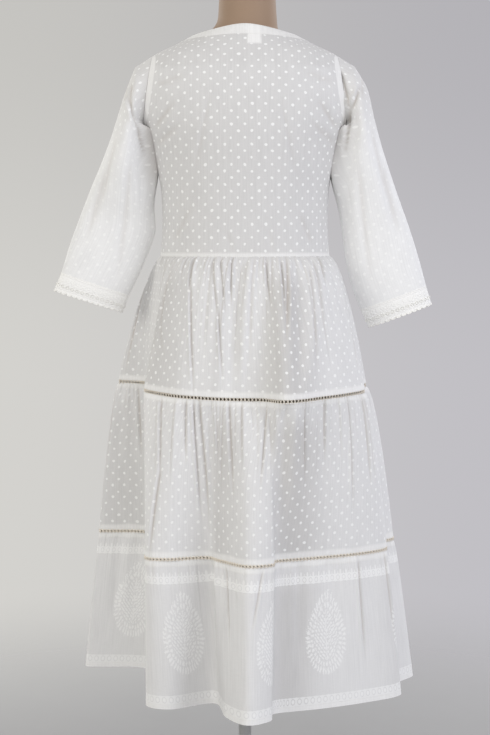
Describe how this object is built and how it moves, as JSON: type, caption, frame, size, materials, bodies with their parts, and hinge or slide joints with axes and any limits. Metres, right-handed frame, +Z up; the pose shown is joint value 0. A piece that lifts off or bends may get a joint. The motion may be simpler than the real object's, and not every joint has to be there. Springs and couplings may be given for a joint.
{
  "type": "tiered dress on a dress form",
  "caption": "Tiered gathered cotton dress with elbow-length sleeves, lace insertions and scalloped lace cuffs, worn by a smooth limbless dress form on a round stand.",
  "frame": {"origin": "centre of the whole object's footprint on the floor, under the stand's base", "axes": "+Z up, +Y towards the front of the dress, +X towards the wearer's right sleeve as seen from behind"},
  "size_m": [0.6495, 0.4974, 1.5343],
  "materials": {
    "cotton": "sheer plain-weave cotton with small printed dots and borders",
    "lace": "matte cotton lace",
    "facing": "plain white cotton",
    "form": "smooth matte tan",
    "stand": "satin light grey"
  },
  "bodies": {
    "root": {"form_torso": "form", "form_neck_cap": "stand", "stand_pole": "stand", "stand_base": "stand", "bodice_back": "cotton", "bodice_front": "cotton", "neck_facing_back": "facing", "neck_facing_front": "facing", "label_blank": "facing", "sleeve_left": "cotton", "sleeve_right": "cotton", "cuff_lace_left": "lace", "cuff_lace_right": "lace", "tier_1_back": "cotton", "tier_1_front": "cotton", "lace_insert_1_back": "lace", "lace_insert_1_front": "lace", "tier_2_back": "cotton", "tier_2_front": "cotton", "lace_insert_2_back": "lace", "lace_insert_2_front": "lace", "tier_3_back": "cotton", "tier_3_front": "cotton"}
  },
  "joints": []
}
